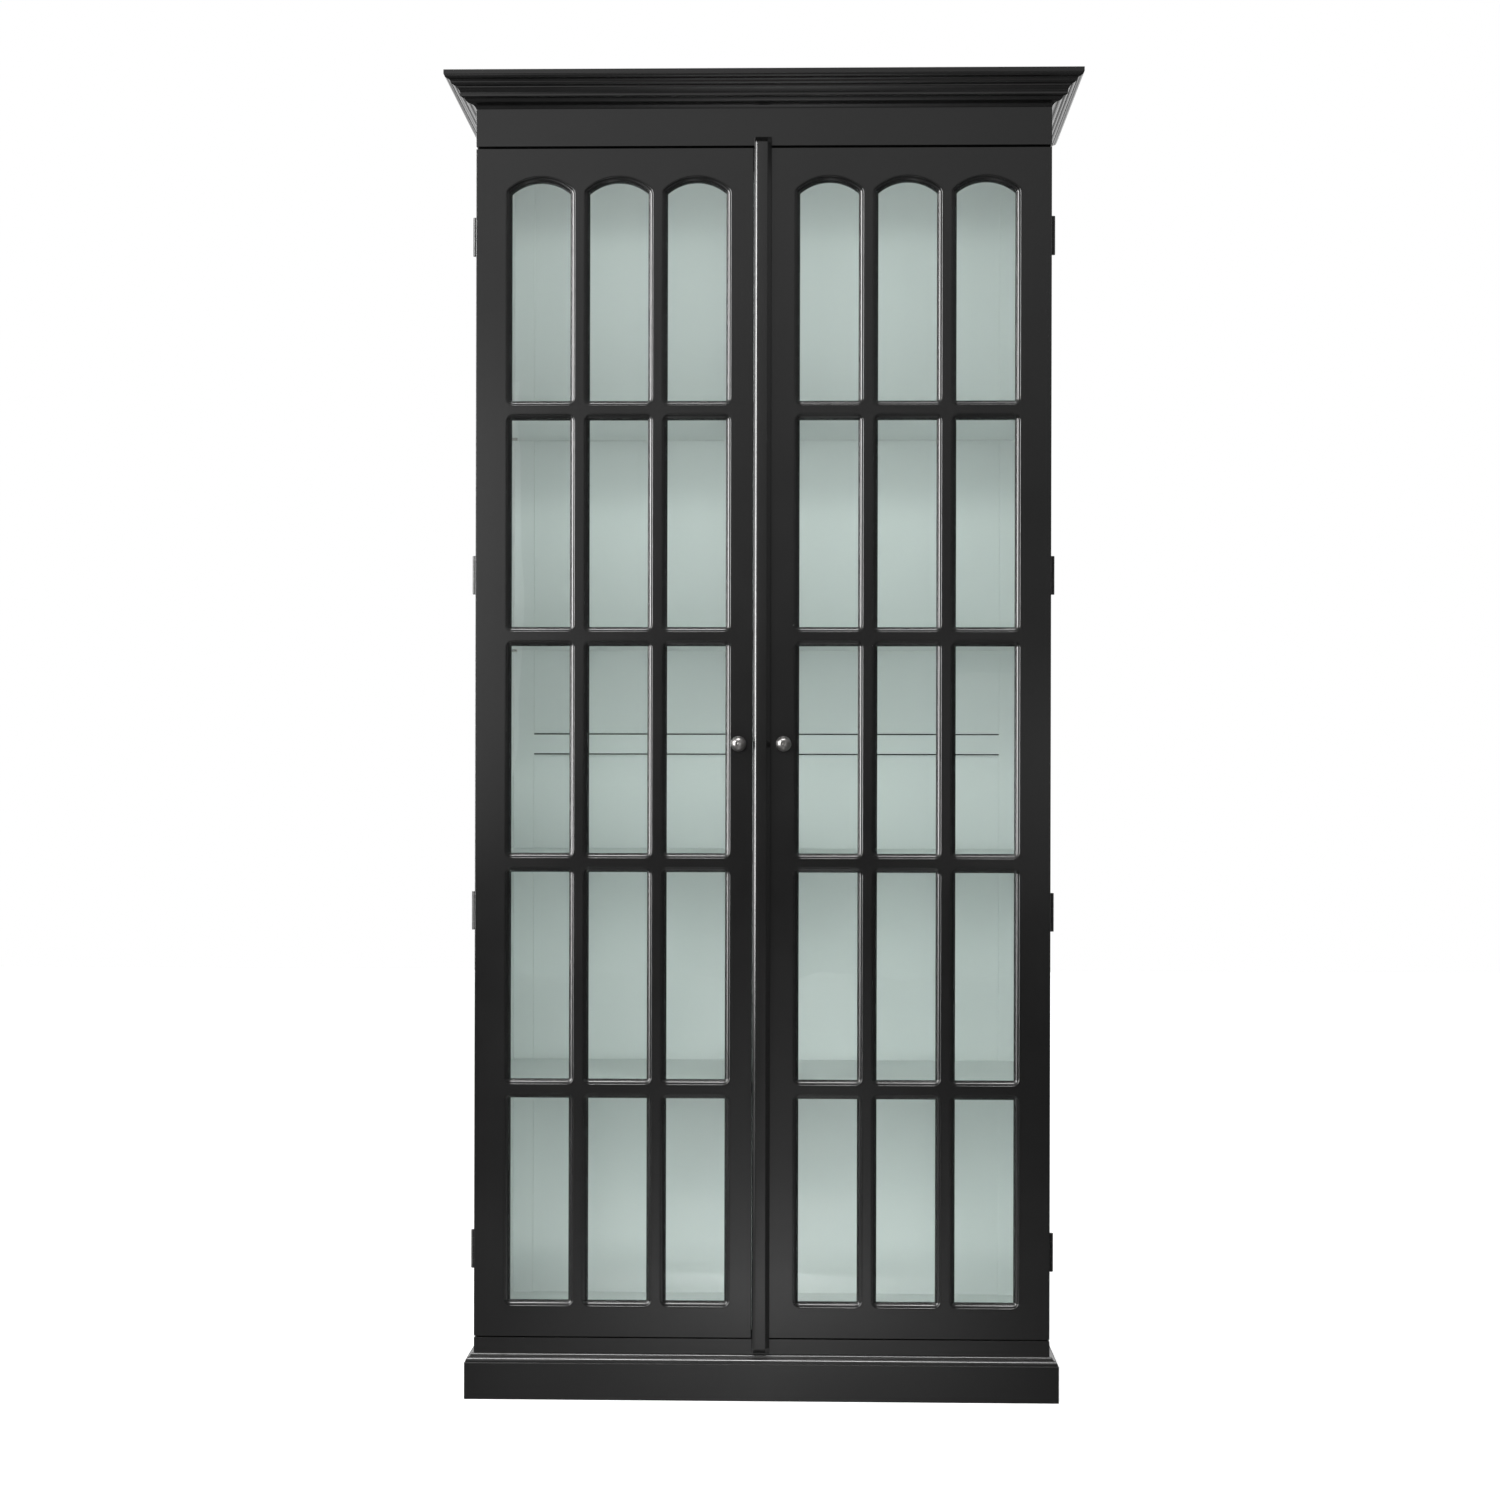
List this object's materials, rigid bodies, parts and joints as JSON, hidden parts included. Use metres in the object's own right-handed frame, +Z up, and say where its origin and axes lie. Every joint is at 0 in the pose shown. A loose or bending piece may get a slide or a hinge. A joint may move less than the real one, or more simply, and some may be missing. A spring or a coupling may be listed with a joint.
{
  "type": "glass display showcase",
  "caption": "Tall free-standing display cabinet with hinged glazed doors of arched-top lights, adjustable shelves, cornice and plinth.",
  "frame": {"origin": "on the floor, under the middle of the overall box", "axes": "+Z up, the doors face -Y, +X to the right of a person who faces the doors"},
  "size_m": [1.03, 0.43, 2.15],
  "materials": {
    "black_paint": "satin black paint on joinery",
    "inside_paint": "matt pale grey-green paint on joinery",
    "raw_board": "thin matt black wash on board",
    "glass": "clear float glass with a faint green tint",
    "hinge_metal": "blackened steel",
    "knob_metal": "dark bronzed metal",
    "screw_steel": "dull zinc plating",
    "pin_steel": "nickel plating",
    "catch_steel": "zinc plating"
  },
  "bodies": {
    "cabinet": {"back_bottom_rail": "inside_paint", "back_middle_rail": "inside_paint", "back_top_rail": "inside_paint", "bottom_panel": "inside_paint", "bottom_stop_lath": "inside_paint", "cornice_front": "black_paint", "cornice_top_board": "raw_board", "frieze_rail": "black_paint", "hinge_frame_leaves": "hinge_metal", "hinge_frame_screws": "screw_steel", "hinge_pins": "hinge_metal", "left_back_stile": "inside_paint", "left_cornice_return": "black_paint", "left_plinth_side": "black_paint", "left_side_panel": "black_paint", "lower_back_panel": "inside_paint", "lower_front_rail": "black_paint", "magnetic_catches": "catch_steel", "plinth_back": "raw_board", "plinth_cap_front": "black_paint", "plinth_cap_returns": "black_paint", "plinth_front": "black_paint", "right_back_stile": "inside_paint", "right_cornice_return": "black_paint", "right_plinth_side": "black_paint", "right_side_panel": "black_paint", "shelf_1": "inside_paint", "shelf_2": "inside_paint", "shelf_3": "inside_paint", "shelf_4": "inside_paint", "shelf_pins": "pin_steel", "top_panel": "inside_paint", "top_stop_rail": "inside_paint", "upper_back_panel": "inside_paint"},
    "left_door": {"left_bottom_rail": "black_paint", "left_crossbars": "black_paint", "left_glazing_beads": "black_paint", "left_hinge_leaves": "hinge_metal", "left_hinge_screws": "screw_steel", "left_hinge_stile": "black_paint", "left_knob": "knob_metal", "left_meeting_stile": "black_paint", "left_mouldings": "black_paint", "left_mullions": "black_paint", "left_panes": "glass", "left_strike_plate": "catch_steel", "left_top_rail": "black_paint"},
    "right_door": {"right_bottom_rail": "black_paint", "right_crossbars": "black_paint", "right_glazing_beads": "black_paint", "right_hinge_leaves": "hinge_metal", "right_hinge_screws": "screw_steel", "right_hinge_stile": "black_paint", "right_knob": "knob_metal", "right_meeting_stile": "black_paint", "right_mouldings": "black_paint", "right_mullions": "black_paint", "right_panes": "glass", "right_strike_plate": "catch_steel", "right_top_rail": "black_paint", "astragal": "black_paint"}
  },
  "joints": [
    {"name": "left_door_hinge", "type": "hinge", "parent": "cabinet", "child": "left_door", "pos_m": [-0.472, -0.1452, 1.065], "axis": [0, 0, -1], "range_deg": [0, 180]},
    {"name": "right_door_hinge", "type": "hinge", "parent": "cabinet", "child": "right_door", "pos_m": [0.472, -0.1452, 1.065], "axis": [0, 0, 1], "range_deg": [0, 180]}
  ]
}
